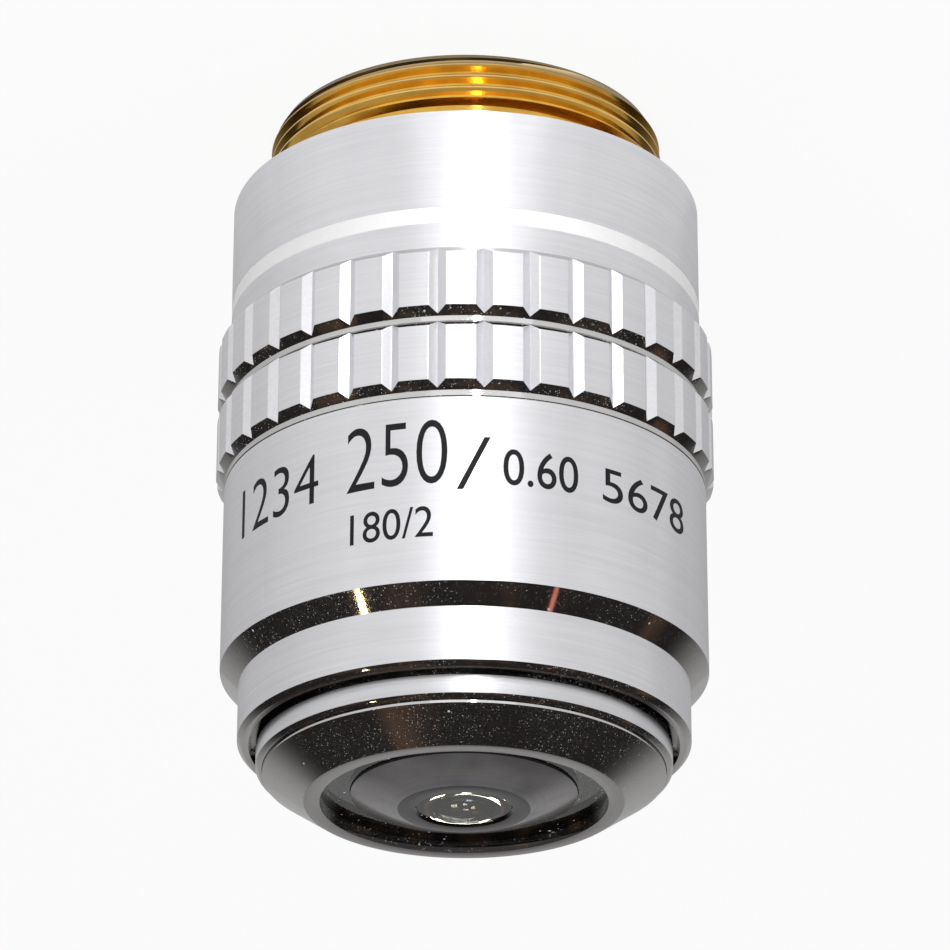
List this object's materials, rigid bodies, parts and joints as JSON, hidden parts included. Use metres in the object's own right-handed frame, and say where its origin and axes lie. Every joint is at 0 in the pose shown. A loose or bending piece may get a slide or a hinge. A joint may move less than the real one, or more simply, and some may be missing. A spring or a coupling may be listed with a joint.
{
  "type": "microscope objective",
  "caption": "Darkfield microscope objective with a brass mounting thread, satin barrels, a fluted grip ring and a spring-loaded cone nose.",
  "frame": {"origin": "centre of the rear end face of the mounting thread, on which the objective stands", "axes": "+Z along the optical axis, from the thread towards the nose; -Y is the side that the picture shows"},
  "size_m": [0.0336, 0.0336, 0.0493],
  "materials": {
    "satin_chrome": "satin, turned lines round the axis",
    "polished_chrome": "polished",
    "gilt_brass": "bright turned",
    "band_white": "matt filler",
    "black_anodised": "matt black",
    "grey_anodised": "satin dark grey",
    "bright_mirror": "polished",
    "spring_steel": "drawn wire",
    "optical_glass": "polished, coated"
  },
  "bodies": {
    "barrel": {"mount_thread": "gilt_brass", "rear_barrel": "satin_chrome", "colour_band": "band_white", "grip_ring": "satin_chrome", "main_barrel": "satin_chrome", "frame_tube": "black_anodised", "collar": "satin_chrome", "spring_seat": "spring_steel", "coil_spring": "spring_steel", "guide_pin": "spring_steel"},
    "nose": {"nose_barrel": "satin_chrome", "nose_cone": "polished_chrome", "darkfield_window": "optical_glass", "darkfield_mirror": "bright_mirror", "spider": "black_anodised", "lens_barrel": "black_anodised", "front_cell": "grey_anodised", "front_lens": "optical_glass", "meniscus_lens": "optical_glass", "front_retainer": "black_anodised", "cell_a": "black_anodised", "cell_b": "black_anodised", "cell_c": "black_anodised", "cell_d": "black_anodised", "lens_a_crown": "optical_glass", "lens_a_flint": "optical_glass", "lens_b_front": "optical_glass", "lens_b_middle": "optical_glass", "lens_b_rear": "optical_glass", "lens_c_crown": "optical_glass", "lens_c_flint": "optical_glass", "lens_d_crown": "optical_glass", "lens_d_flint": "optical_glass", "spacer_tube": "black_anodised", "aperture_stop": "black_anodised", "rear_retainer": "black_anodised"}
  },
  "joints": [
    {"name": "nose_slide", "type": "slide", "parent": "barrel", "child": "nose", "axis": [0, 0, -1], "range_m": [0, 0.0015], "stiffness_N_per_m": 180, "springref_m": -0.009, "deforming": ["coil_spring"]}
  ]
}
